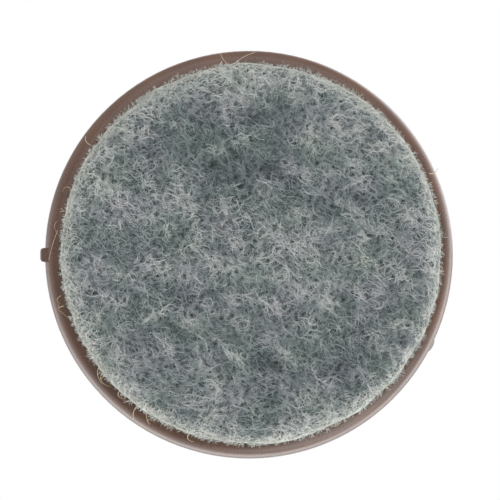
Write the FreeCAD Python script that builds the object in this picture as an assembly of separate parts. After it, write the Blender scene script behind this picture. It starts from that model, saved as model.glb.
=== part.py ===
import FreeCAD, Part
import math
import os
from FreeCAD import Vector

# Felt polishing wheel, 25 mm, on a screw-on mandrel with a 1/8 inch shank. Millimetres.
# The wheel spins about Y: the polishing face lies at y = 0 and looks along -Y, the shank points along +Y,
# and Z is up. The origin is the centre of the polishing face.

os.makedirs("parts", exist_ok=True)

# ---- felt and glue -------------------------------------------------------------------------------------
felt_radius = 11.63
felt_thickness = 3.2
felt_edge_round = 0.4
felt_offset = Vector(0.175, 0, -0.05)    # the felt is glued a little off the plate's centre
glue_thickness = 0.15
glue_margin = 0.25                      # the glue stops short of the felt's edge

# ---- moulded backing plate -----------------------------------------------------------------------------
plate_radius = 12.5
flange_thickness = 1.5
plate_thickness = 3.0                   # flange and rim together
rim_wall = 1.3
front_round = 0.85
rear_round = 0.3
hub_radius = 4.5
hub_height = 6.0                        # from the plate's front face
hub_chamfer = 0.3
rib_count = 6
rib_width = 1.0
rib_rise = 1.5                          # how far a rib climbs the hub above the rim
rib_overlap = 0.5                       # how far a rib reaches into the hub
rib_root = 0.2                          # how far a rib reaches into the flange
ejector_count = 3
ejector_radius = 0.8
ejector_depth = 0.1
ejector_ring_radius = 7.8
gate_angle = 180.2                      # degrees from +X towards +Z
gate_width = 0.85
gate_length = 1.2                       # along the spin axis
gate_proud = 0.28
gate_setback = 0.25                     # from the plate's front face
gate_root = 0.9                         # how far the stub reaches into the rim
gate_round = 0.24
swelling_angle = -26.5                  # a low bump that the mould left on the rim
swelling_radius = 0.9
swelling_proud = 0.1
swelling_setback = 0.8
swelling_length = 1.6
swelling_round = 0.3

# ---- brass insert --------------------------------------------------------------------------------------
insert_length = 4.5
insert_proud = 0.1
knurl_teeth = 24
knurl_tip_radius = 3.1
knurl_root_radius = 2.9
groove_radius = 2.6
groove_width = 0.9
bore_radius = 2.0
bore_chamfer = 0.25

# ---- washers -------------------------------------------------------------------------------------------
flat_washer_radius = 4.5
flat_washer_bore = 2.15
flat_washer_thickness = 0.8
lock_washer_radius = 3.8
lock_washer_bore = 2.05
lock_washer_thickness = 0.9
lock_washer_split = 0.5
lock_washer_split_tilt = 25.0           # degrees
lock_washer_split_at = 60.0             # degrees from +X towards +Z

# ---- mandrel -------------------------------------------------------------------------------------------
stud_radius = 1.95                      # a plain cylinder in place of the M4 thread
stud_tip_gap = 0.3                      # between the stud's tip and the bottom of the insert's pocket
stud_tip_chamfer = 0.4
relief_radius = 1.6
relief_width = 0.5
collar_radius = 4.0
collar_length = 3.0
collar_chamfer = 0.25
wrench_flat = 7.0                       # across the two flats
wrench_flat_length = 2.2
shank_radius = 1.5875
shank_length = 30.0
shank_fillet = 0.4
shank_chamfer = 0.4

# ---- stations along the spin axis ----------------------------------------------------------------------
plate_front = felt_thickness + glue_thickness
flange_rear = plate_front + flange_thickness
plate_rear = plate_front + plate_thickness
hub_rear = plate_front + hub_height
insert_rear = hub_rear + insert_proud
insert_front = insert_rear - insert_length
flat_washer_rear = insert_rear + flat_washer_thickness
collar_front = flat_washer_rear + lock_washer_thickness
collar_rear = collar_front + collar_length
shank_end = collar_rear + shank_length

axis = Vector(0, 1, 0)
origin = Vector(0, 0, 0)
cut_margin = 1.0                        # how far a cutting tool runs past what it cuts


def turned(points):
    """Solid of revolution about Y of a closed outline of (radius, y) points.

    A third value in a point is the radius of a fillet there.
    """
    corners = [Vector(p[0], p[1], 0) for p in points]
    fillets = [p[2] if len(p) > 2 else 0 for p in points]
    edges = []
    starts, ends = [], []
    for i, corner in enumerate(corners):
        before = (corners[i - 1] - corner).normalize()
        after = (corners[(i + 1) % len(corners)] - corner).normalize()
        setback = fillets[i] / math.tan(before.getAngle(after) / 2) if fillets[i] else 0
        starts.append(corner + before * setback)
        ends.append(corner + after * setback)
        if fillets[i]:
            towards = (before + after).normalize()
            reach = fillets[i] / math.sin(before.getAngle(after) / 2) - fillets[i]
            edges.append(Part.Arc(starts[i], corner + towards * reach, ends[i]).toShape())
    for i in range(len(corners)):
        run = Part.LineSegment(ends[i - 1], starts[i])
        if run.length() > 1e-6:
            edges.append(run.toShape())
    face = Part.Face(Part.Wire(Part.__sortEdges__(edges)))
    return face.revolve(origin, axis, 360)


def cylinder(radius, front, rear, centre=origin):
    """Cylinder along Y between two stations."""
    return Part.makeCylinder(radius, rear - front, Vector(centre.x, front, centre.z), axis)


def ring(outer, inner, front, rear):
    return cylinder(outer, front, rear).cut(cylinder(inner, front - cut_margin, rear + cut_margin))


def turn(shape, degrees):
    """Copy of a shape turned about the spin axis, from +X towards +Z."""
    copy = shape.copy()
    copy.rotate(origin, Vector(0, -1, 0), degrees)
    return copy


def one_solid(shape):
    """The single solid of a boolean's result, with its leftover seams merged."""
    clean = shape.removeSplitter()
    if len(clean.Solids) != 1:
        raise ValueError(f"expected one solid, found {len(clean.Solids)}")
    return clean.Solids[0]


def make_felt():
    felt = turned([
        (0, 0),
        (felt_radius, 0, felt_edge_round),
        (felt_radius, felt_thickness),
        (0, felt_thickness),
    ])
    felt.translate(felt_offset)
    return felt


def make_glue():
    return cylinder(felt_radius - glue_margin, felt_thickness, plate_front, felt_offset)


def insert_outside():
    """Outside of the insert: two knurled bands with a plain groove between them."""
    corners = []
    for i in range(knurl_teeth):
        for j, radius in enumerate((knurl_root_radius, knurl_tip_radius)):
            a = 2 * math.pi * (i + j / 2) / knurl_teeth
            corners.append(Vector(radius * math.cos(a), insert_front, radius * math.sin(a)))
    outline = Part.makePolygon(corners + corners[:1])
    knurled = Part.Face(outline).extrude(Vector(0, insert_length, 0))
    middle = (insert_front + insert_rear) / 2
    groove = ring(
        knurl_tip_radius + cut_margin, groove_radius, middle - groove_width / 2, middle + groove_width / 2
    )
    return one_solid(knurled.cut(groove))


def make_insert(outside):
    bore = turned([
        (0, insert_front - cut_margin),
        (bore_radius, insert_front - cut_margin),
        (bore_radius, insert_rear - bore_chamfer),
        (bore_radius + bore_chamfer + cut_margin, insert_rear + cut_margin),
        (0, insert_rear + cut_margin),
    ])
    return one_solid(outside.cut(bore))


def make_rib():
    """Gusset along +X, from inside the hub to inside the rim wall, climbing the hub."""
    inner = hub_radius - rib_overlap
    outer = plate_radius - rim_wall / 2
    corners = [
        Vector(inner, flange_rear - rib_root, -rib_width / 2),
        Vector(outer, flange_rear - rib_root, -rib_width / 2),
        Vector(outer, plate_rear - rear_round, -rib_width / 2),
        Vector(inner, plate_rear + rib_rise, -rib_width / 2),
    ]
    return Part.Face(Part.makePolygon(corners + corners[:1])).extrude(Vector(0, 0, rib_width))


def make_gate_stub():
    """Small block on the plate's rim, left where the moulding was cut from its runner."""
    corner = Vector(plate_radius - gate_root, plate_front + gate_setback, -gate_width / 2)
    block = Part.makeBox(gate_root + gate_proud, gate_length, gate_width, corner)
    outer_edges = [
        e for e in block.Edges
        if all(abs(v.X - plate_radius - gate_proud) < 1e-6 for v in e.Vertexes)
    ]
    return turn(block.makeFillet(gate_round, outer_edges), gate_angle)


def make_swelling():
    """Low round bump on the plate's rim."""
    front = plate_front + swelling_setback
    centre = Vector(plate_radius + swelling_proud - swelling_radius, 0, 0)
    bump = cylinder(swelling_radius, front, front + swelling_length, centre)
    ends = [e for e in bump.Edges if len(e.Vertexes) == 1]
    return turn(bump.makeFillet(swelling_round, ends), swelling_angle)


def make_plate(insert_shape):
    """Flat disc with a short rim behind it, a ribbed hub, and the marks that moulding leaves."""
    plate = turned([
        (0, plate_front),
        (plate_radius, plate_front, front_round),
        (plate_radius, plate_rear, rear_round),
        (plate_radius - rim_wall, plate_rear, rear_round),
        (plate_radius - rim_wall, flange_rear),
        (hub_radius, flange_rear),
        (hub_radius, hub_rear - hub_chamfer),
        (hub_radius - hub_chamfer, hub_rear),
        (0, hub_rear),
    ])
    rib = make_rib()
    for i in range(rib_count):
        plate = plate.fuse(turn(rib, 360 * (i + 0.5) / rib_count))
    for i in range(ejector_count):
        a = 2 * math.pi * i / ejector_count    # midway between two ribs
        centre = Vector(math.cos(a), 0, math.sin(a)) * ejector_ring_radius
        bottom = flange_rear - ejector_depth
        plate = plate.cut(cylinder(ejector_radius, bottom, flange_rear + cut_margin, centre))
    plate = plate.fuse(make_gate_stub())
    plate = plate.fuse(make_swelling())
    return one_solid(plate.cut(insert_shape))


def make_flat_washer():
    return ring(flat_washer_radius, flat_washer_bore, insert_rear, flat_washer_rear)


def make_lock_washer():
    """Spring washer with one slanting split, pressed flat."""
    washer = ring(lock_washer_radius, lock_washer_bore, flat_washer_rear, collar_front)
    height = 4 * lock_washer_thickness
    middle = (flat_washer_rear + collar_front) / 2
    split = Part.makeBox(
        lock_washer_radius + cut_margin, height, lock_washer_split,
        Vector(0, middle - height / 2, -lock_washer_split / 2),
    )
    split.rotate(Vector(0, middle, 0), Vector(1, 0, 0), lock_washer_split_tilt)
    return one_solid(washer.cut(turn(split, lock_washer_split_at)))


def make_mandrel():
    """Turned steel: stud for the insert, collar with two wrench flats, and the shank."""
    stud_tip = insert_front + stud_tip_gap
    steel = turned([
        (0, stud_tip),
        (stud_radius - stud_tip_chamfer, stud_tip),
        (stud_radius, stud_tip + stud_tip_chamfer),
        (stud_radius, collar_front - relief_width - (stud_radius - relief_radius)),
        (relief_radius, collar_front - relief_width),
        (relief_radius, collar_front),
        (collar_radius - collar_chamfer, collar_front),
        (collar_radius, collar_front + collar_chamfer),
        (collar_radius, collar_rear - collar_chamfer),
        (collar_radius - collar_chamfer, collar_rear),
        (shank_radius, collar_rear, shank_fillet),
        (shank_radius, shank_end - shank_chamfer),
        (shank_radius - shank_chamfer, shank_end),
        (0, shank_end),
    ])
    for side in (0, 180):
        flat = Part.makeBox(
            collar_radius, wrench_flat_length + cut_margin, 2 * collar_radius + 2 * cut_margin,
            Vector(wrench_flat / 2, collar_rear - wrench_flat_length, -collar_radius - cut_margin),
        )
        steel = steel.cut(turn(flat, side))
    return one_solid(steel)


insert_shape = insert_outside()
parts = {
    "felt_disc": make_felt(),
    "adhesive_film": make_glue(),
    "backing_plate": make_plate(insert_shape),
    "threaded_insert": make_insert(insert_shape),
    "flat_washer": make_flat_washer(),
    "lock_washer": make_lock_washer(),
    "mandrel": make_mandrel(),
}
for name, shape in parts.items():
    if not shape.isValid() or len(shape.Solids) != 1:
        raise ValueError(f"{name} is not one valid solid")
    shape.exportStep(f"parts/{name}.step")
    box = shape.optimalBoundingBox()
    print(f"{name}: {shape.Volume:.2f} mm3, y {box.YMin:.2f} to {box.YMax:.2f}, reach {box.XMax:.2f}")
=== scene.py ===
import math

import bpy
import numpy as np
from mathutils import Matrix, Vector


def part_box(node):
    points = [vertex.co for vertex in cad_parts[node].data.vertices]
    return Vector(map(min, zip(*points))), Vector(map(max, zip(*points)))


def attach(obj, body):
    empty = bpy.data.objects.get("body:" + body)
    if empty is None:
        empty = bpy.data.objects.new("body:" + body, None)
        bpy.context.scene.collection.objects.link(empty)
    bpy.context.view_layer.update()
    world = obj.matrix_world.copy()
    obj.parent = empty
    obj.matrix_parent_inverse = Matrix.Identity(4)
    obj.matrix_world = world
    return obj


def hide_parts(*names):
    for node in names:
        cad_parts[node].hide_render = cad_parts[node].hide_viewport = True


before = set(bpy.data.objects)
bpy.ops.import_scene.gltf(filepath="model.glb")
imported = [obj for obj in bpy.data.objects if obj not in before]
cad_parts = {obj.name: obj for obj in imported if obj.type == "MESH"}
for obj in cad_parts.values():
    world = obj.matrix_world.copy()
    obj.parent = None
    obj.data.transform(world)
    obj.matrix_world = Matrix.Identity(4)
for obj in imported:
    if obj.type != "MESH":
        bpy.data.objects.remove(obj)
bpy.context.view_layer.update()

mm = 0.001


def hexColor(code):
    # sRGB hex to the linear colour that the shader sockets take
    channels = [int(code[i:i + 2], 16) / 255 for i in (1, 3, 5)]
    return [c / 12.92 if c <= 0.04045 else ((c + 0.055) / 1.055) ** 2.4 for c in channels] + [1.0]


def addNode(tree, kind, settings=None, values=None, links=None):
    # one node, with its properties, its unlinked socket values and its incoming links
    node = tree.nodes.new(kind)
    for key, value in (settings or {}).items():
        setattr(node, key, value)
    for key, value in (values or {}).items():
        node.inputs[key].default_value = value
    for key, socket in (links or {}).items():
        tree.links.new(socket, node.inputs[key])
    return node


def newMaterial(name, values):
    # a Principled material whose sockets start from the given values
    material = bpy.data.materials.new(name)
    material.use_nodes = True
    shader = material.node_tree.nodes["Principled BSDF"]
    for key, value in values.items():
        shader.inputs[key].default_value = value
    return material, material.node_tree, shader


def meshFromFaces(name, points, quads, triangles):
    # a mesh from whole arrays: corners in mm, four-sided faces first and three-sided ones after them
    mesh = bpy.data.meshes.new(name)
    corners = np.concatenate([quads.reshape(-1), triangles.reshape(-1)]).astype(np.int32)
    sizes = np.concatenate([np.full(len(quads), 4), np.full(len(triangles), 3)]).astype(np.int32)
    mesh.vertices.add(len(points))
    mesh.vertices.foreach_set("co", (points * mm).astype(np.float32).reshape(-1))
    mesh.loops.add(len(corners))
    mesh.loops.foreach_set("vertex_index", corners)
    mesh.polygons.add(len(sizes))
    mesh.polygons.foreach_set("loop_start", (np.cumsum(sizes) - sizes).astype(np.int32))
    mesh.polygons.foreach_set("use_smooth", np.full(len(sizes), True))
    mesh.update(calc_edges=True)
    mesh.validate()
    piece = bpy.data.objects.new(name, mesh)
    bpy.context.scene.collection.objects.link(piece)
    return piece


def spokesRound(count):
    # evenly spaced angles round a full turn, as one row
    return np.linspace(0, 2 * np.pi, count, endpoint=False)[None, :]


def setStops(ramp, stops):
    # gives a Color Ramp its stops, in rising order of position: (position, linear colour)
    elements = ramp.color_ramp.elements
    for i, (position, color) in enumerate(stops):
        stop = elements[i] if i < 2 else elements.new(0.999)
        stop.position, stop.color = position, color


def loopMesh(name, grid, poles=None):
    # A mesh of a (row, column) grid of points whose columns go all the way round. Two poles close its ends
    # with fans; without them the last row joins the first.
    rows, columns = grid.shape[:2]
    points = grid.reshape(-1, 3)
    index = np.arange(rows * columns).reshape(rows, columns)
    beside = np.roll(index, -1, axis=1)
    if poles is None:
        after, afterBeside = np.roll(index, -1, axis=0), np.roll(beside, -1, axis=0)
        quads = np.stack([index, after, afterBeside, beside], axis=2).reshape(-1, 4)
        return meshFromFaces(name, points, quads, np.zeros((0, 3), int))
    quads = np.stack([index[:-1], index[1:], beside[1:], beside[:-1]], axis=2).reshape(-1, 4)
    first, last = rows * columns, rows * columns + 1
    fans = np.concatenate([
        np.stack([np.full(columns, first), index[0], beside[0]], axis=1),
        np.stack([np.full(columns, last), beside[-1], index[-1]], axis=1),
    ])
    return meshFromFaces(name, np.concatenate([points, poles]), quads, fans)


def roundSurface(name, radius, station, closedProfile=False, crease=30):
    # A surface round Y: radius and station are grids of (place on the profile, angle), in mm, and the point
    # is (radius cos angle, station, radius sin angle). An open profile ends in two poles. Edges sharper than
    # crease degrees stay sharp.
    angle = spokesRound(radius.shape[1])
    grid = np.stack([radius * np.cos(angle), station, radius * np.sin(angle)], axis=2)
    poles = None if closedProfile else [[0, station[0].mean(), 0], [0, station[-1].mean(), 0]]
    piece = loopMesh(name, grid, poles)
    piece.data.set_sharp_from_angle(angle=math.radians(crease))
    return piece


def finishPiece(piece, materials, body, slot, *nodes):
    for material in materials:
        piece.data.materials.append(material)
    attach(piece, body)
    if nodes:
        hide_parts(*nodes)
    return piece


def boxMm(node):
    low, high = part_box(node)
    return np.array(low) / mm, np.array(high) / mm


feltLow, feltHigh = boxMm("felt_disc")
felt = {
    "radius": (feltHigh[0] - feltLow[0]) / 2,
    "centre": ((feltLow[0] + feltHigh[0]) / 2, (feltLow[2] + feltHigh[2]) / 2),
    "thickness": feltHigh[1] - feltLow[1],
    "edgeRound": 1.1,
    "outlineWander": (0.035, 3.0, 21),  # how far the cut edge leaves a true circle, over what length; seed
    "bodyDepth": 0.30,          # how far the dense body lies under the polishing face
    "paintedEdgeLight": 0.57,         # painted light at the cut edge: how much paler its strands are drawn than the face's, partly their own paler cut ends, partly painted light shining through them
    "edgeLightLean": (-0.24, 0.10),  # and how much more so towards +X and +Z; painted light, weaker where the lamps already light the edge from the lower right
    "borderWidth": 0.62,
    "footGap": 0.05,            # between the foot of the cut wall and the felt's back
}
# Mottling of the wool: (size in mm, how much of x counts, seed, strength). Less of x draws it out along x.
feltNoise = [(4.5, 0.6, 4, 0.03), (2.2, 0.6, 5, 0.05), (1.1, 0.7, 6, 0.105), (0.55, 0.8, 7, 0.095)]
# Soft patches of lighter and darker wool, in mm from the felt's centre: (x, z, reach along x, reach along z,
# tone). Their tones add up.
feltPatches = [
    (-0.5, 5.0, 2.6, 1.2, -0.42),
    (-2.6, 7.4, 1.8, 1.0, -0.16),
    (-5.1, 6.1, 1.2, 0.9, -0.26),
    (1.0, 8.2, 1.2, 0.9, -0.28),
    (3.1, 3.5, 1.5, 0.9, -0.20),
    (7.4, 4.9, 1.6, 0.9, -0.10),
    (-7.2, 0.5, 1.2, 1.0, -0.28),
    (-6.3, -2.4, 1.2, 0.9, -0.12),
    (-4.8, -4.8, 2.6, 0.9, -0.12),
    (0.8, -6.8, 2.0, 1.4, -0.26),
    (6.2, -5.9, 2.6, 1.3, -0.24),
    (-5.2, -7.6, 1.8, 1.0, -0.10),
    (-8.2, 3.7, 1.6, 1.0, 0.12),
    (-4.6, 2.8, 2.4, 1.1, 0.14),
    (0.9, 1.1, 3.4, 1.0, 0.20),
    (-3.2, -1.2, 2.0, 0.9, 0.22),
    (2.8, -2.6, 1.8, 0.8, 0.12),
    (7.2, -0.6, 2.6, 0.9, 0.18),
    (4.9, 6.6, 1.5, 1.6, 0.10),
    (-2.6, -8.8, 1.2, 0.8, 0.10),
    (3.8, -9.0, 1.8, 0.8, 0.14),
    (-0.8, 10.2, 3.0, 0.9, 0.20),
]


def wander(x, z, size, seed, waves=24):
    # smooth noise: the sum of plane waves of about the given wavelength, in random directions
    rng = np.random.default_rng(seed)
    way = rng.uniform(0, 2 * np.pi, waves)
    length = size * rng.uniform(0.7, 1.6, waves)
    phase = rng.uniform(0, 2 * np.pi, waves)
    total = np.zeros(np.shape(x))
    for w, l, p in zip(way, length, phase):
        total += np.cos(2 * np.pi * (x * np.cos(w) + z * np.sin(w)) / l + p)
    return total / math.sqrt(waves / 2)


def feltTone(x, z):
    # noise at four sizes, the patches, and painted light that pales the strands towards the cut edge, added
    # up
    tone = np.zeros(np.shape(x))
    for size, share, seed, strength in feltNoise:
        tone += strength * wander(share * x, z, size, seed)
    for px, pz, rx, rz, change in feltPatches:
        tone += change * np.exp(-((x - px) / rx) ** 2 - ((z - pz) / rz) ** 2)
    reach = np.hypot(x, z) + 1e-9
    # painted light: strands pale towards the cut edge, stronger at the upper left than at the lower right
    pale = felt["paintedEdgeLight"] + (felt["edgeLightLean"][0] * x + felt["edgeLightLean"][1] * z) / reach
    return tone + pale * np.exp(-np.maximum(felt["radius"] - reach, 0) / felt["borderWidth"])


def onFelt(a, b, lift):
    # The felt's skin laid out flat: distance from the centre runs over the face, round the edge (a quarter
    # circle) and down the wall. lift moves the point off the skin along its normal.
    reach = np.hypot(a, b) + 1e-9
    ca, cb = a / reach, b / reach
    strength, size, seed = felt["outlineWander"]
    radius = felt["radius"] + strength * wander(ca * felt["radius"], cb * felt["radius"], size, seed)
    e = felt["edgeRound"]
    flat = radius - e
    bend = np.clip((reach - flat) / e, 0, np.pi / 2)
    down = np.maximum(reach - flat - e * np.pi / 2, 0)
    out = np.minimum(reach, flat) + (e + lift) * np.sin(bend)
    y = e - (e + lift) * np.cos(bend) + np.minimum(down, felt["thickness"] - e - felt["footGap"])
    return np.stack([felt["centre"][0] + out * ca, y, felt["centre"][1] + out * cb], axis=-1)


def strandMesh(name, paths, radius, colorIndex):
    # Strands as closed three-sided tubes with pointed ends: paths is (strand, point, xyz), radius (strand).
    count, steps = paths.shape[:2]
    along = np.gradient(paths, axis=1)
    along /= np.linalg.norm(along, axis=2, keepdims=True) + 1e-12
    side = np.cross(along, np.array([0.13, 0.97, 0.21]))
    side /= np.linalg.norm(side, axis=2, keepdims=True) + 1e-12
    rise = np.cross(along, side)
    turns = np.arange(3) * 2 * np.pi / 3
    ring = side[:, 1:-1, None, :] * np.cos(turns)[:, None] + rise[:, 1:-1, None, :] * np.sin(turns)[:, None]
    ring = paths[:, 1:-1, None, :] + ring * radius[:, None, None, None]
    inner = steps - 2
    points = np.concatenate([ring.reshape(count, -1, 3), paths[:, :1], paths[:, -1:]], axis=1)
    index = np.arange(inner * 3).reshape(inner, 3)
    beside = np.roll(index, -1, axis=1)
    quads = np.stack([index[:-1], beside[:-1], beside[1:], index[1:]], axis=2).reshape(-1, 4)
    tips = np.concatenate([
        np.stack([np.full(3, inner * 3), beside[0], index[0]], axis=1),
        np.stack([np.full(3, inner * 3 + 1), index[-1], beside[-1]], axis=1),
    ])
    start = (np.arange(count) * (inner * 3 + 2))[:, None, None]
    piece = meshFromFaces(
        name, points.reshape(-1, 3), (quads + start).reshape(-1, 4), (tips + start).reshape(-1, 3)
    )
    slots = np.concatenate([np.repeat(colorIndex, len(quads)), np.repeat(colorIndex, len(tips))])
    piece.data.polygons.foreach_set("material_index", slots.astype(np.int32))
    return piece


strands = {
    "pieces": 8,                # that the strands are shared between
    "perPiece": 6600,
    "points": 7,                # along each strand
    "length": (0.6, 1.7),
    "curl": 1.1,                # mean turn in radians per mm
    "thickness": (0.009, 0.019),  # radius in mm
    "pile": 0.42,               # depth of the open pile above the body
    "archShare": 0.25,          # of that depth which a strand's arch takes
    "hills": [(0.05, 1.1, 31), (0.065, 0.45, 32)],  # height, size and seed of the pile's unevenness
    "pits": (0.22, 0.45, 33),   # depth, size and seed of its open places
    "pitsAbove": 0.9,           # the noise level that opens one
    "toneSpread": 0.028,
    "tone": 0.70,
    "depthShade": 0.14,          # painted shade: how much paler the top of the pile is drawn than its root, which lies in the shade of the strands above
    "shoulder": (0.7, 0.45),    # width of the edge's border, and how much lower the pile is at its end
    "cutEdge": 0.6,             # width of the border where most strands run outwards and are cut short
    "cutShare": (0.7, 0.6),     # how many of them run outwards, and how far they splay
    "cutLength": 0.6,           # their length beside the others'
    "grain": (-0.30, 0.55, 0.5),  # the web's direction in radians, its spread, and how many follow it
    "swing": (0.2, 1.0),        # of a strand's direction, in radians
    "swingRate": (1.5, 5.0),    # in radians per mm
    "seed": 3,
}
# Tufts: places where strands run together. Ranges are in mm, except that tone is a mean and a spread, and
# level is how high in the pile the tuft lies, from 0 to 1.
tufts = {
    "count": 620,
    "share": 0.40,              # of the strands that lie in one
    "halfLength": (0.35, 1.1),
    "halfWidth": (0.08, 0.3),
    "tone": (0.02, 0.13),
    "level": (0.2, 1.0),
    "levelShare": 0.6,          # of a strand's height that its tuft decides
    "splay": 0.35,
    "curlShare": 0.6,           # curl beside that of the loose strands
    "seed": 103,
}
# Tones of the dyed wool and polyester blend, dark to light, and the casts that its patches take.
strandTones = ["#363f40", "#465151", "#566162", "#667172", "#768182", "#879091", "#9aa0a0", "#b0b4b2"]
strandCasts = {"slate": (0, 0, 0), "lilac": (3, 0, 3), "moss": (-2, 1, -3), "cream": (3, 1, -4)}
castDrift = {
    "size": 3.5,                # of the patches of lilac and moss, in mm
    "seed": 51,
    "mixing": 0.5,              # how far single strands stray from their patch's cast
    "beyond": 0.9,              # the noise level past which slate turns to lilac, or below minus it to moss
    "creamDepth": 0.5,          # mean depth of cream strands from the cut edge, in mm
}


def makeStrandMaterials():
    # Wool and polyester staple: dull strands with a soft sheen. Each tone is a material of its own,
    # because one strand is one colour, and the eye mixes them.
    found = []
    for cast, change in strandCasts.items():
        for i, code in enumerate(strandTones):
            channels = [int(code[k:k + 2], 16) + c for k, c in zip((1, 3, 5), change)]
            found.append(newMaterial(f"feltStrand_{cast}_{i}", {
                "Base Color": hexColor("#" + "".join(f"{c:02x}" for c in channels)),
                "Roughness": 0.85,
                "Specular IOR Level": 0.15,
                "Sheen Weight": 0.2,
                "Sheen Roughness": 0.5,
            })[0])
    return found


def walkStrands(rng, a, b, heading, length, curl, steps):
    # heading(s) = start + curl s + a slow swing; the path is its running sum, centred on (a, b)
    s = np.linspace(-0.5, 0.5, steps)[None, :] * length[:, None]
    swing = rng.uniform(*strands["swing"], (len(a), 1)) * np.sin(
        s * rng.uniform(*strands["swingRate"], (len(a), 1)) + rng.uniform(0, 2 * np.pi, (len(a), 1))
    )
    way = heading[:, None] + curl[:, None] * s + swing
    step = length[:, None] / (steps - 1)
    da, db = np.cumsum(np.cos(way) * step, axis=1), np.cumsum(np.sin(way) * step, axis=1)
    return (
        a[:, None] + da - da.mean(axis=1, keepdims=True),
        b[:, None] + db - db.mean(axis=1, keepdims=True),
    )


def headings(rng, count):
    # any direction, or near the one that the web was laid in
    way, spread, share = strands["grain"]
    follows = rng.random(count) < share
    return np.where(follows, rng.normal(way, spread, count), rng.uniform(0, 2 * np.pi, count))


def materialIndex(x, z, tone, rng):
    # 0 is the darkest strand and 1 the palest; the cast follows slow noise over the face, and turns to
    # cream at the cut edge
    last = len(strandTones) - 1
    shade = np.clip(np.round(tone * last), 0, last).astype(int)
    slate, lilac, moss, cream = range(len(strandCasts))
    drift = wander(x, z, castDrift["size"], castDrift["seed"])
    drift = drift + rng.normal(0, castDrift["mixing"], len(tone))
    cast = np.where(drift > castDrift["beyond"], lilac, np.where(drift < -castDrift["beyond"], moss, slate))
    edge = felt["radius"] - np.hypot(x, z) < rng.exponential(castDrift["creamDepth"], len(tone))
    return np.where(edge, cream, cast) * len(strandTones) + shade


def flatReach():
    # from the centre, over the edge, to the foot of the wall
    e = felt["edgeRound"]
    return felt["radius"] - e + e * np.pi / 2 + felt["thickness"] - e


def planTufts(reach):
    # every tuft's place, direction, size, tone and level, the same for each share of the pile
    rng = np.random.default_rng(tufts["seed"])
    count = tufts["count"]
    spot, angle = reach * np.sqrt(rng.random(count)), rng.uniform(0, 2 * np.pi, count)
    plan = {"a": spot * np.cos(angle), "b": spot * np.sin(angle), "way": headings(rng, count)}
    plan["long"] = rng.uniform(*tufts["halfLength"], count)
    plan["wide"] = rng.uniform(*tufts["halfWidth"], count)
    plan["tone"] = rng.normal(*tufts["tone"], count)
    plan["level"] = rng.uniform(*tufts["level"], count)
    return plan


def pileLift(a, b, level):
    # Height off the skin: a strand's own level and its arch share the pile's depth, which is less over the
    # shoulder. Hills and pits are added, fading to nothing there, and the body's depth is taken off.
    width, drop = strands["shoulder"]
    arch = 1 - np.linspace(-1, 1, a.shape[1])[None, :] ** 2
    share = strands["archShare"]
    depth, size, seed = strands["pits"]
    hills = sum(height * wander(a, b, span, key) for height, span, key in strands["hills"])
    hills -= depth * np.clip(wander(a, b, size, seed) - strands["pitsAbove"], 0, 1)
    shoulder = np.clip((np.hypot(a, b) - felt["radius"] + width) / width, 0, 1)
    lift = (level[:, None] * (1 - share) + share * arch) * strands["pile"] * (1 - drop * shoulder)
    return lift + hills * (1 - shoulder) - felt["bodyDepth"]


def makePile(number, materials):
    # One share of the pile. Some strands lie at random over the flat layout of the skin, and the rest run
    # together in tufts, each with its own place, direction and tone. All arch up out of the body.
    rng = np.random.default_rng(strands["seed"] + number)
    count, points = strands["perPiece"], strands["points"]
    reach = flatReach() * 0.99      # just short of the foot of the wall
    spot, angle = reach * np.sqrt(rng.random(count)), rng.uniform(0, 2 * np.pi, count)
    a, b = spot * np.cos(angle), spot * np.sin(angle)
    heading = headings(rng, count)
    plan = planTufts(reach)
    mine = rng.integers(0, tufts["count"], count)
    tuft = {key: values[mine] for key, values in plan.items()}
    tufted = rng.random(count) < tufts["share"]
    long, wide = rng.normal(0, 1, count) * tuft["long"], rng.normal(0, 1, count) * tuft["wide"]
    a = np.where(tufted, tuft["a"] + long * np.cos(tuft["way"]) - wide * np.sin(tuft["way"]), a)
    b = np.where(tufted, tuft["b"] + long * np.sin(tuft["way"]) + wide * np.cos(tuft["way"]), b)
    heading = np.where(tufted, tuft["way"] + rng.normal(0, tufts["splay"], count), heading)
    cut = np.hypot(a, b) > felt["radius"] - strands["cutEdge"]
    share, splay = strands["cutShare"]
    outward = np.arctan2(b, a) + rng.normal(0, splay, count)
    heading = np.where(cut & (rng.random(count) < share), outward, heading)
    length = rng.uniform(*strands["length"], count) * np.where(cut, strands["cutLength"], 1.0)
    curl = rng.normal(0, strands["curl"], count) * np.where(tufted, tufts["curlShare"], 1.0)
    a, b = walkStrands(rng, a, b, heading, length, curl, points)
    own = tufts["levelShare"]
    # loose strands lie a little more often in the upper half of the pile
    level = np.where(tufted, own * tuft["level"] + (1 - own) * rng.random(count), rng.random(count) ** 0.8)
    x, z = a.mean(axis=1), b.mean(axis=1)
    # painted shade: strands low in the pile are drawn darker, for the shade of those above them
    tone = strands["tone"] + strands["depthShade"] * (level - 0.5) + feltTone(x, z)
    tone += rng.normal(0, strands["toneSpread"], count) + np.where(tufted, tuft["tone"], 0)
    over = np.maximum(np.hypot(a, b) / (reach + 0.02), 1)      # keeps every point on the layout
    paths = onFelt(a / over, b / over, pileLift(a, b, level))
    radius = rng.uniform(*strands["thickness"], count)
    piece = strandMesh(f"felt_pile_{number + 1}", paths, radius, materialIndex(x, z, tone, rng))
    return finishPiece(piece, materials, "wheel", "felt")


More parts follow.
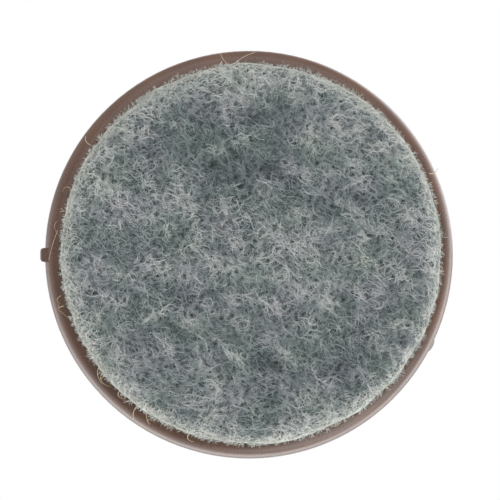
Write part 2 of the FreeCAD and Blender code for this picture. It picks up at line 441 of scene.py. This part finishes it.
fuzz = {
    "tufts": 1500,
    "hairs": 3,                 # in each tuft
    "length": (0.06, 0.05, 0.42),  # shortest, mean above that, longest
    "lengthShare": (0.75, 1.1),    # of a tuft's length that its hairs have
    "hidden": 0.12,             # added to each hair's length, inside the felt
    "root": (0.08, 0.28),       # how far inside the cut edge a tuft starts
    "height": (0.5, 2.8),       # of a tuft along the wall, from the polishing face
    "jitter": 0.04,             # how far a tuft's hairs start from each other
    "lean": 0.6,                # spread in radians of the tufts' directions from straight out
    "splay": 0.14,              # and of a tuft's hairs from the tuft's
    "curl": 2.5,                # radians per mm
    "rise": 0.35,               # change of height per mm of length
    "between": (0.02, 3.1),     # lowest and highest y of a hair
    "thickness": (0.007, 0.013),
    "tone": (0.88, 0.08),       # mean and spread
    "seed": 71,
}


def makeEdgeFuzz(materials):
    # Cut ends that stand off the felt's edge in small tufts and lean over the rim. A tuft's hairs share its
    # place, direction and length, and splay a little. Each hair's direction turns evenly along it.
    rng = np.random.default_rng(fuzz["seed"])
    each, points = fuzz["hairs"], strands["points"]
    count = fuzz["tufts"] * each
    shortest, mean, longest = fuzz["length"]

    def perTuft(values):
        return np.repeat(values, each)

    angle = perTuft(rng.uniform(0, 2 * np.pi, fuzz["tufts"]))
    angle = angle + rng.normal(0, fuzz["jitter"], count) / felt["radius"]
    lean = perTuft(rng.normal(0, fuzz["lean"], fuzz["tufts"])) + rng.normal(0, fuzz["splay"], count)
    long = perTuft(np.minimum(shortest + rng.exponential(mean, fuzz["tufts"]), longest))
    root = felt["radius"] - perTuft(rng.uniform(*fuzz["root"], fuzz["tufts"]))
    height = perTuft(rng.uniform(*fuzz["height"], fuzz["tufts"])) + rng.normal(0, fuzz["jitter"], count)
    length = (long + fuzz["hidden"]) * rng.uniform(*fuzz["lengthShare"], count)
    s = np.linspace(0, 1, points)[None, :] * length[:, None]
    way = (angle + lean)[:, None] + rng.normal(0, fuzz["curl"], count)[:, None] * s
    step = length[:, None] / (points - 1)
    x = (root * np.cos(angle))[:, None] + np.cumsum(np.cos(way) * step, axis=1)
    z = (root * np.sin(angle))[:, None] + np.cumsum(np.sin(way) * step, axis=1)
    y = np.clip(height[:, None] + rng.normal(0, fuzz["rise"], count)[:, None] * s, *fuzz["between"])
    paths = np.stack([felt["centre"][0] + x, y, felt["centre"][1] + z], axis=-1)
    index = materialIndex(x[:, 0], z[:, 0], rng.normal(*fuzz["tone"], count), rng)
    piece = strandMesh("felt_edge_fuzz", paths, rng.uniform(*fuzz["thickness"], count), index)
    return finishPiece(piece, materials, "wheel", "felt")


# Long loose hairs that have worked out of the felt's edge: three points each, as (x, z, height above the
# plate's front face), from the wheel's centre, in mm.
strays = {"thickness": (0.014, 0.025), "points": 14, "seed": 83}
straysAt = [
    [(-11.55, 1.45, 2.6), (-11.95, 0.65, 1.8), (-12.22, -0.47, 0.7)],
    [(-11.60, 1.95, 2.4), (-12.05, 1.62, 2.0), (-11.50, 1.05, 1.6)],
    [(-11.35, -2.55, 1.6), (-11.95, -2.80, 1.3), (-11.45, -3.10, 1.2)],
    [(-11.20, -3.20, 2.2), (-11.75, -3.45, 1.4), (-11.55, -3.05, 0.8)],
    [(-11.70, -3.30, 1.0), (-11.30, -3.75, 0.8), (-10.80, -4.05, 0.5)],
    [(-10.75, 3.90, 2.0), (-11.25, 4.25, 1.6), (-11.35, 3.70, 1.3)],
    [(-9.55, 6.55, 2.2), (-10.05, 6.75, 1.8), (-9.90, 7.15, 1.6)],
    [(-1.15, 11.20, 2.8), (-0.55, 11.95, 2.0), (0.45, 12.30, 0.9)],
    [(-1.20, 11.45, 2.0), (-1.65, 11.85, 1.5), (-1.70, 12.25, 0.8)],
    [(-9.00, -6.75, 2.0), (-9.45, -7.35, 1.4), (-8.90, -8.00, 1.0)],
    [(-8.80, -7.05, 2.2), (-9.35, -7.95, 1.6), (-8.35, -8.15, 1.2)],
    [(-8.60, -7.20, 1.8), (-8.95, -7.75, 1.3), (-9.10, -7.60, 0.9)],
    [(-7.80, -8.35, 1.9), (-8.20, -8.75, 1.4), (-7.55, -8.90, 1.1)],
    [(-6.70, -9.25, 1.8), (-7.15, -9.60, 1.2), (-7.02, -10.15, 0.5)],
    [(-6.15, -9.55, 1.6), (-6.35, -10.05, 1.1), (-6.02, -10.45, 0.5)],
    [(-3.60, -10.95, 1.6), (-3.95, -11.40, 1.0), (-3.30, -11.50, 0.6)],
    [(4.90, -10.45, 1.8), (5.35, -10.70, 1.2), (5.60, -10.30, 0.9)],
    [(10.95, 4.85, 2.0), (11.40, 4.70, 1.6), (11.55, 5.20, 1.2)],
]


def makeStrays():
    # Undyed wool: pale straw-coloured hairs. Each follows the quadratic curve through its three points'
    # control net: (1 - t)^2 start + 2 t (1 - t) middle + t^2 end.
    material = newMaterial("undyedWoolHair", {
        "Base Color": hexColor("#998867"), "Roughness": 0.6, "Sheen Weight": 0.2,
    })[0]
    net = np.array(straysAt)
    t = np.linspace(0, 1, strays["points"])[None, :, None]
    path = (1 - t) ** 2 * net[:, None, 0] + 2 * t * (1 - t) * net[:, None, 1] + t ** 2 * net[:, None, 2]
    front = boxMm("backing_plate")[0][1]
    paths = np.stack([path[:, :, 0], front - path[:, :, 2], path[:, :, 1]], axis=-1)
    count = len(straysAt)
    radius = np.random.default_rng(strays["seed"]).uniform(*strays["thickness"], count)
    piece = strandMesh("felt_stray_hairs", paths, radius, np.zeros(count, int))
    return finishPiece(piece, [material], "wheel", "felt")


def makeFeltMaterial():
    # Needled felt under the pile: matted wool, mottled in patches of a few mm, drawn darker than the strands
    # and darker still in its pits as painted shade of the pile above it.
    material, tree, shader = newMaterial("needledFelt", {
        "Roughness": 0.95, "Sheen Weight": 0.3, "Specular IOR Level": 0.15,
    })
    place = addNode(tree, "ShaderNodeTexCoord")
    patches = addNode(tree, "ShaderNodeTexNoise", values={"Scale": 1 / (2.5 * mm), "Detail": 3.0},
                      links={"Vector": place.outputs["Object"]})
    pits = addNode(tree, "ShaderNodeTexNoise", values={"Scale": 1 / (0.22 * mm), "Detail": 4.0},
                   links={"Vector": place.outputs["Object"]})
    blend = addNode(tree, "ShaderNodeMix", values={"Factor": 0.6},
                    links={"A": patches.outputs["Fac"], "B": pits.outputs["Fac"]})
    ramp = addNode(tree, "ShaderNodeValToRGB", links={"Fac": blend.outputs["Result"]})
    # painted shade: the body's colours are darker than the strands', for the shade down under the pile
    setStops(ramp, [(0.36, hexColor("#3b4343")), (0.64, hexColor("#6f7878"))])
    bump = addNode(tree, "ShaderNodeBump", values={"Strength": 0.8, "Distance": 0.08 * mm},
                   links={"Height": pits.outputs["Fac"]})
    tree.links.new(ramp.outputs["Color"], shader.inputs["Base Color"])
    tree.links.new(bump.outputs["Normal"], shader.inputs["Normal"])
    return material


feltBody = {
    "rings": 150,
    "spokes": 360,
    "centreHole": 0.05,         # radius of the first ring, in mm
    "dents": [(0.05, 0.9, 41), (0.04, 0.4, 42)],    # height, size and seed
    "highest": 0.1,
    "sunk": 0.75,               # share of bodyDepth by which the body's skin is lowered
}


def makeFeltBody():
    # The dense felt: the flat layout of the skin, lowered and dented, on a grid of rings, closed behind.
    reach = np.linspace(feltBody["centreHole"], flatReach(), feltBody["rings"])[:, None]
    angle = spokesRound(feltBody["spokes"])
    a, b = reach * np.cos(angle), reach * np.sin(angle)
    dents = sum(height * wander(a, b, size, seed) for height, size, seed in feltBody["dents"])
    skin = onFelt(a, b, np.minimum(dents, feltBody["highest"]) - felt["bodyDepth"] * feltBody["sunk"])
    back = skin[-1:].copy()
    back[:, :, 1] = felt["thickness"]
    cx, cz = felt["centre"]
    poles = [[cx, skin[0, :, 1].mean(), cz], [cx, felt["thickness"], cz]]
    piece = loopMesh("felt_body", np.concatenate([skin, back]), poles)
    return finishPiece(piece, [makeFeltMaterial()], "wheel", "felt", "felt_disc")


def makePlateMaterial():
    # Brown moulded polypropylene: satin from the mould's texture, with faint flow marks and fine scuffs.
    material, tree, shader = newMaterial("mouldedPolypropylene", {"IOR": 1.49})
    place = addNode(tree, "ShaderNodeTexCoord")
    flow = addNode(tree, "ShaderNodeTexNoise", values={"Scale": 1 / (3.0 * mm), "Detail": 4.0},
                   links={"Vector": place.outputs["Object"]})
    grain = addNode(tree, "ShaderNodeTexNoise", values={"Scale": 1 / (0.12 * mm), "Detail": 3.0},
                    links={"Vector": place.outputs["Object"]})
    ramp = addNode(tree, "ShaderNodeValToRGB", links={"Fac": flow.outputs["Fac"]})
    setStops(ramp, [(0.3, hexColor("#3f2618")), (0.7, hexColor("#4f3220"))])
    rough = addNode(tree, "ShaderNodeMapRange", values={"To Min": 0.22, "To Max": 0.36},
                    links={"Value": grain.outputs["Fac"]})
    bump = addNode(tree, "ShaderNodeBump", values={"Strength": 0.35, "Distance": 0.02 * mm},
                   links={"Height": grain.outputs["Fac"]})
    tree.links.new(ramp.outputs["Color"], shader.inputs["Base Color"])
    tree.links.new(rough.outputs["Result"], shader.inputs["Roughness"])
    tree.links.new(bump.outputs["Normal"], shader.inputs["Normal"])
    return material


def dress(node, material):
    # gives a CAD node its finish
    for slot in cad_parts[node].material_slots:
        slot.material = material


def aroundAxis(tree):
    # how far along Y plus how far out from it: constant along every mark that a lathe leaves
    place = addNode(tree, "ShaderNodeTexCoord")
    parts = addNode(tree, "ShaderNodeSeparateXYZ", links={"Vector": place.outputs["Object"]})
    across = addNode(tree, "ShaderNodeCombineXYZ", links={"X": parts.outputs["X"], "Y": parts.outputs["Z"]})
    out = addNode(tree, "ShaderNodeVectorMath", {"operation": "LENGTH"},
                  links={0: across.outputs["Vector"]})
    total = addNode(tree, "ShaderNodeMath", {"operation": "ADD"},
                    links={0: parts.outputs["Y"], 1: out.outputs["Value"]})
    return place, total


def makeTurnedMetal(name, light, dark, roughness, markWidth, markDepth):
    # Metal cut on a lathe: its tool marks run round the axis, stretch its highlights along it, and vary
    # its gloss; handling leaves it slightly darker in clouds.
    material, tree, shader = newMaterial(name, {"Metallic": 1.0})
    place, along = aroundAxis(tree)
    marks = addNode(tree, "ShaderNodeTexNoise", {"noise_dimensions": "1D"},
                    {"Scale": 1 / (markWidth * mm), "Detail": 3.0}, {"W": along.outputs["Value"]})
    clouds = addNode(tree, "ShaderNodeTexNoise", values={"Scale": 1 / (3.0 * mm), "Detail": 5.0},
                     links={"Vector": place.outputs["Object"]})
    ramp = addNode(tree, "ShaderNodeValToRGB", links={"Fac": clouds.outputs["Fac"]})
    setStops(ramp, [(0.30, hexColor(dark)), (0.62, hexColor(light))])
    rough = addNode(tree, "ShaderNodeMapRange", values={"To Min": roughness[0], "To Max": roughness[1]},
                    links={"Value": marks.outputs["Fac"]})
    bump = addNode(tree, "ShaderNodeBump", values={"Strength": 0.5, "Distance": markDepth * mm},
                   links={"Height": marks.outputs["Fac"]})
    tree.links.new(ramp.outputs["Color"], shader.inputs["Base Color"])
    tree.links.new(rough.outputs["Result"], shader.inputs["Roughness"])
    tree.links.new(bump.outputs["Normal"], shader.inputs["Normal"])
    return material


def makeZincPlate():
    # Stamped steel with bright zinc plating: silvery with a faint blue and straw passivation, and soft
    # orange-peel from the barrel that it was plated in.
    material, tree, shader = newMaterial("zincPlatedSteel", {"Metallic": 1.0})
    place = addNode(tree, "ShaderNodeTexCoord")
    film = addNode(tree, "ShaderNodeTexNoise", values={"Scale": 1 / (1.6 * mm), "Detail": 3.0},
                   links={"Vector": place.outputs["Object"]})
    peel = addNode(tree, "ShaderNodeTexNoise", values={"Scale": 1 / (0.15 * mm), "Detail": 4.0},
                   links={"Vector": place.outputs["Object"]})
    ramp = addNode(tree, "ShaderNodeValToRGB", links={"Fac": film.outputs["Fac"]})
    setStops(ramp, [(0.34, hexColor("#666d75")), (0.5, hexColor("#707376")), (0.66, hexColor("#77756b"))])
    rough = addNode(tree, "ShaderNodeMapRange", values={"To Min": 0.24, "To Max": 0.44},
                    links={"Value": peel.outputs["Fac"]})
    bump = addNode(tree, "ShaderNodeBump", values={"Strength": 0.3, "Distance": 0.015 * mm},
                   links={"Height": peel.outputs["Fac"]})
    tree.links.new(ramp.outputs["Color"], shader.inputs["Base Color"])
    tree.links.new(rough.outputs["Result"], shader.inputs["Roughness"])
    tree.links.new(bump.outputs["Normal"], shader.inputs["Normal"])
    return material


def makeGlue():
    # Dried contact adhesive: rubbery amber, a little see-through, with small bubbles.
    material, tree, shader = newMaterial("driedContactAdhesive", {
        "Roughness": 0.35, "IOR": 1.49, "Subsurface Weight": 0.3, "Subsurface Scale": 0.3 * mm,
    })
    place = addNode(tree, "ShaderNodeTexCoord")
    bubbles = addNode(tree, "ShaderNodeTexVoronoi", values={"Scale": 1 / (0.35 * mm)},
                      links={"Vector": place.outputs["Object"]})
    ramp = addNode(tree, "ShaderNodeValToRGB", links={"Fac": bubbles.outputs["Distance"]})
    setStops(ramp, [(0.1, hexColor("#c9b184")), (0.7, hexColor("#a98f5f"))])
    bump = addNode(tree, "ShaderNodeBump", values={"Strength": 0.4, "Distance": 0.03 * mm},
                   links={"Height": bubbles.outputs["Distance"]})
    tree.links.new(ramp.outputs["Color"], shader.inputs["Base Color"])
    tree.links.new(bump.outputs["Normal"], shader.inputs["Normal"])
    return material


thread = {
    "pitch": 0.7,
    "crest": 1.94,              # radius of the stud's crests
    "root": 1.54,
    "play": 0.05,               # between the stud and the insert
    "rowsPerTurn": 14,
    "steepness": (1.3, 0.15),   # of the flanks, and how much of the wave its flat bottoms take
}


def threadRadius(y, angle):
    # right-handed about +Y: the crest keeps y + pitch angle / 2 pi constant; a triangle wave with its tops
    # and bottoms cut flat
    turn = y / thread["pitch"] + angle / (2 * np.pi)
    wave = 2 * np.abs(turn - np.floor(turn) - 0.5)
    steep, flat = thread["steepness"]
    return thread["root"] + (thread["crest"] - thread["root"]) * np.clip(steep * wave - flat, 0, 1)


mandrel = {
    "tipChamfer": 0.4,
    "relief": (1.6, 0.5),       # radius and width of the groove in front of the collar
    "collar": (4.0, 3.0),       # radius and length
    "collarChamfer": 0.25,
    "flats": (7.0, 2.2),        # across the two wrench flats, and how long they are
    "shank": 1.5875,
    "shankFillet": 0.4,
    "filletRows": 7,
    "endChamfer": 0.4,
    "spokes": 96,
}


def makeMandrel():
    # The profile runs from the stud's tip to the shank's end. The stud's radius follows the thread, cut by
    # a cone at the tip and another at the relief; the collar's is cut to half the flats / |cos angle|.
    m = mandrel
    tip, end = (v[1] for v in boxMm("mandrel"))
    collarFront = boxMm("lock_washer")[1][1]
    collarRear = collarFront + m["collar"][1]
    reliefRadius, reliefFront = m["relief"][0], collarFront - m["relief"][1]
    angle = spokesRound(m["spokes"])
    y = np.arange(tip, reliefFront, thread["pitch"] / thread["rowsPerTurn"])[:, None]
    cone = np.minimum(thread["crest"] - m["tipChamfer"] + (y - tip), reliefRadius + (reliefFront - y))
    stud = np.minimum(threadRadius(y, angle), cone)
    radius, chamfer = m["collar"][0], m["collarChamfer"]
    flatFront = collarRear - m["flats"][1]
    bend = np.linspace(0, np.pi / 2, m["filletRows"])
    f = m["shankFillet"]
    beforeFlats = [
        (reliefRadius, reliefFront), (reliefRadius, collarFront),
        (radius - chamfer, collarFront), (radius, collarFront + chamfer), (radius, flatFront),
    ]
    fromFlats = [
        (radius, flatFront), (radius, collarRear - chamfer), (radius - chamfer, collarRear),
        *zip(m["shank"] + f - f * np.sin(bend), collarRear + f - f * np.cos(bend)),
        (m["shank"], end - m["endChamfer"]), (m["shank"] - m["endChamfer"], end),
    ]
    plain = np.array(beforeFlats + fromFlats)
    rest = np.repeat(plain[:, :1], m["spokes"], axis=1)
    flats = m["flats"][0] / 2 / np.maximum(np.abs(np.cos(angle)), 1e-6)
    rest[len(beforeFlats):] = np.minimum(rest[len(beforeFlats):], flats)
    radii = np.concatenate([stud, rest])
    stations = np.repeat(np.concatenate([y, plain[:, 1:]]), m["spokes"], axis=1)
    steel = makeTurnedMetal("turnedSteel", "#83817c", "#64625e", (0.16, 0.34), 0.12, 0.012)
    return finishPiece(roundSurface("mandrel_turned", radii, stations), [steel],
                       "mandrel", "mandrel_steel", "mandrel")


insert = {
    "teeth": 24,
    "knurl": (2.9, 3.1),        # root and tip radius
    "groove": (2.6, 0.9),       # radius and width
    "boreChamfer": 0.25,
    "spokes": 144,
}


def makeInsert():
    # The profile runs along the knurled outside, over the rear face and back through the threaded bore,
    # whose radius is the stud's plus the play, widened by a cone at the rear.
    k = insert
    front, rear = (v[1] for v in boxMm("threaded_insert"))
    angle = spokesRound(k["spokes"])
    tooth = angle * k["teeth"] / (2 * np.pi)
    rootRadius, tipRadius = k["knurl"]
    knurl = rootRadius + (tipRadius - rootRadius) * (1 - 2 * np.abs(tooth - np.floor(tooth) - 0.5))
    middle, half = (front + rear) / 2, k["groove"][1] / 2
    groove = np.full_like(angle, k["groove"][0])
    outside = [(knurl, front), (knurl, middle - half), (groove, middle - half), (groove, middle + half),
               (knurl, middle + half), (knurl, rear)]
    y = np.arange(rear, front, -thread["pitch"] / thread["rowsPerTurn"])[:, None]
    cone = thread["crest"] + thread["play"] + k["boreChamfer"] - (rear - y)
    bore = np.maximum(threadRadius(y, angle) + thread["play"], cone)
    radii = np.concatenate([r for r, station in outside] + [bore])
    stations = np.concatenate([np.full_like(angle, station) for r, station in outside]
                              + [np.repeat(y, k["spokes"], axis=1)])
    brass = makeTurnedMetal("turnedBrass", "#c9a25a", "#9c7638", (0.2, 0.38), 0.1, 0.01)
    return finishPiece(roundSurface("insert_turned", radii, stations, closedProfile=True), [brass],
                       "wheel", "insert_brass", "threaded_insert")


stage = {
    "frameWidth": 30.62,        # what the view takes in at the wheel, in mm
    "distance": 450.0,
    "sensor": 36.0,
    "clip": (0.01, 10.0),       # in metres
    "lean": (0.7, -2.0),        # degrees that the camera stands to the right of the spin axis and above it
    "aim": (0.068, 0.265),      # the view's centre on the wheel, in mm along x and z
    "aimDepth": 4.0,
    "floor": -90.0,             # height in mm
    "floorHalf": 2000.0,
}
# The white surroundings, by how far a direction points behind the wheel (-1 to 1): a level all round it,
# and a bright band below and to the right, about level with the wheel. Shapes are (direction, share) stops.
# bandSide is the band's direction, and bandReach is how far round from it the band fades in.
surroundings = {
    "level": 1.4,
    "levelShape": [(-0.8, 0.62), (-0.35, 1.0), (0.1, 1.0), (0.5, 0.43), (0.68, 0.45), (0.86, 1.15)],
    "band": 5.6,
    "bandShape": [(-0.7, 0.0), (-0.3, 0.28), (0.0, 0.35), (0.15, 1.0), (0.5, 1.0), (0.75, 0.0)],
    "bandSide": (0.25, 0.0, -0.97),
    "bandReach": {"From Min": -0.8, "From Max": 0.6},
}
# Soft boxes: place, what they face, width in mm, and brightness beside the white surroundings.
softBoxes = {
    "key": ((65, -115, -130), (0, 0, 0), 160, 3.4),
    "fill": ((-5, -140, 110), (0, 0, 0), 230, 1.45),
    "rear": ((150, 170, 110), (0, 15, 0), 200, 2.0),
}


def makeCamera():
    right, up = (math.radians(v) for v in stage["lean"])
    target = np.array([stage["aim"][0], stage["aimDepth"], stage["aim"][1]])
    back = np.array([math.sin(right) * math.cos(up), -math.cos(right) * math.cos(up), math.sin(up)])
    data = bpy.data.cameras.new("camera")
    data.sensor_width = stage["sensor"]
    data.lens = data.sensor_width * stage["distance"] / stage["frameWidth"]
    data.clip_start, data.clip_end = stage["clip"]
    camera = bpy.data.objects.new("camera", data)
    camera.location = (target + back * stage["distance"]) * mm
    camera.rotation_euler = (math.radians(90) - up, 0, right)
    bpy.context.scene.collection.objects.link(camera)
    bpy.context.scene.camera = camera


def makeSoftBox(name, place, target, width, brightness):
    # a square lamp at place, facing target; its power is brightness times pi times its area
    data = bpy.data.lights.new(name, "AREA")
    data.size = width * mm
    data.energy = brightness * math.pi * (width * mm) ** 2
    lamp = bpy.data.objects.new(name, data)
    away = np.array(place, float) - np.array(target, float)
    lamp.location = np.array(place) * mm
    tilt, turn = math.atan2(math.hypot(away[0], away[1]), away[2]), math.atan2(away[0], -away[1])
    lamp.rotation_euler = (tilt, 0, turn)
    lamp.visible_camera = False
    bpy.context.scene.collection.objects.link(lamp)


def shapeOver(tree, way, stops):
    # a grey that follows (direction along Y, share) stops
    parts = addNode(tree, "ShaderNodeSeparateXYZ", links={"Vector": way.outputs["Generated"]})
    share = addNode(tree, "ShaderNodeMapRange", values={"From Min": -1.0},
                    links={"Value": parts.outputs["Y"]})
    ramp = addNode(tree, "ShaderNodeValToRGB", links={"Fac": share.outputs["Result"]})
    setStops(ramp, [((along + 1) / 2, (grey, grey, grey, 1)) for along, grey in stops])
    return ramp.outputs["Color"]


def makeWorld():
    # Strength is band shape times side plus level times its shape for every ray but the camera's, which
    # sees plain white.
    world = bpy.data.worlds.new("studio")
    world.use_nodes = True
    sky, tree = world.node_tree.nodes["Background"], world.node_tree
    sky.inputs["Color"].default_value = (1, 1, 1, 1)
    way = addNode(tree, "ShaderNodeTexCoord")
    levelShape = shapeOver(tree, way, surroundings["levelShape"])
    level = addNode(tree, "ShaderNodeMath", {"operation": "MULTIPLY"},
                    {1: surroundings["level"]}, {0: levelShape})
    near = addNode(tree, "ShaderNodeVectorMath", {"operation": "DOT_PRODUCT"},
                   {1: surroundings["bandSide"]}, {0: way.outputs["Generated"]})
    side = addNode(tree, "ShaderNodeMapRange", {"interpolation_type": "SMOOTHSTEP"},
                   {**surroundings["bandReach"], "To Max": surroundings["band"]},
                   {"Value": near.outputs["Value"]})
    bandShape = shapeOver(tree, way, surroundings["bandShape"])
    both = addNode(tree, "ShaderNodeMath", {"operation": "MULTIPLY_ADD"},
                   links={0: bandShape, 1: side.outputs["Result"], 2: level.outputs["Value"]})
    seen = addNode(tree, "ShaderNodeLightPath")
    shown = addNode(tree, "ShaderNodeMix", values={"B": 1.0},
                    links={"Factor": seen.outputs["Is Camera Ray"], "A": both.outputs["Value"]})
    tree.links.new(shown.outputs["Result"], sky.inputs["Strength"])
    bpy.context.scene.world = world


def makeFloor():
    mesh = bpy.data.meshes.new("floor")
    half, height = stage["floorHalf"] * mm, stage["floor"] * mm
    corners = [(-half, -half, height), (half, -half, height), (half, half, height), (-half, half, height)]
    mesh.from_pydata(corners, [], [(0, 1, 2, 3)])
    paint = newMaterial("paintedFloor", {"Base Color": hexColor("#f4f4f2"), "Roughness": 0.8})[0]
    mesh.materials.append(paint)
    floor = bpy.data.objects.new("floor", mesh)
    floor.visible_diffuse = floor.visible_glossy = False      # lets the light from below reach the wheel
    bpy.context.scene.collection.objects.link(floor)


makeCamera()
makeWorld()
makeFloor()
for name, box in softBoxes.items():
    makeSoftBox(name, *box)
bpy.context.scene.view_settings.view_transform = "Standard"
print("stage set")
strandMaterials = makeStrandMaterials()
makeFeltBody()
for number in range(strands["pieces"]):
    makePile(number, strandMaterials)
makeEdgeFuzz(strandMaterials)
makeStrays()
print("felt made")
dress("backing_plate", makePlateMaterial())
dress("adhesive_film", makeGlue())
print("plate and glue dressed")
makeInsert()
makeMandrel()
zinc = makeZincPlate()
dress("flat_washer", zinc)
dress("lock_washer", zinc)
print("metal parts made")
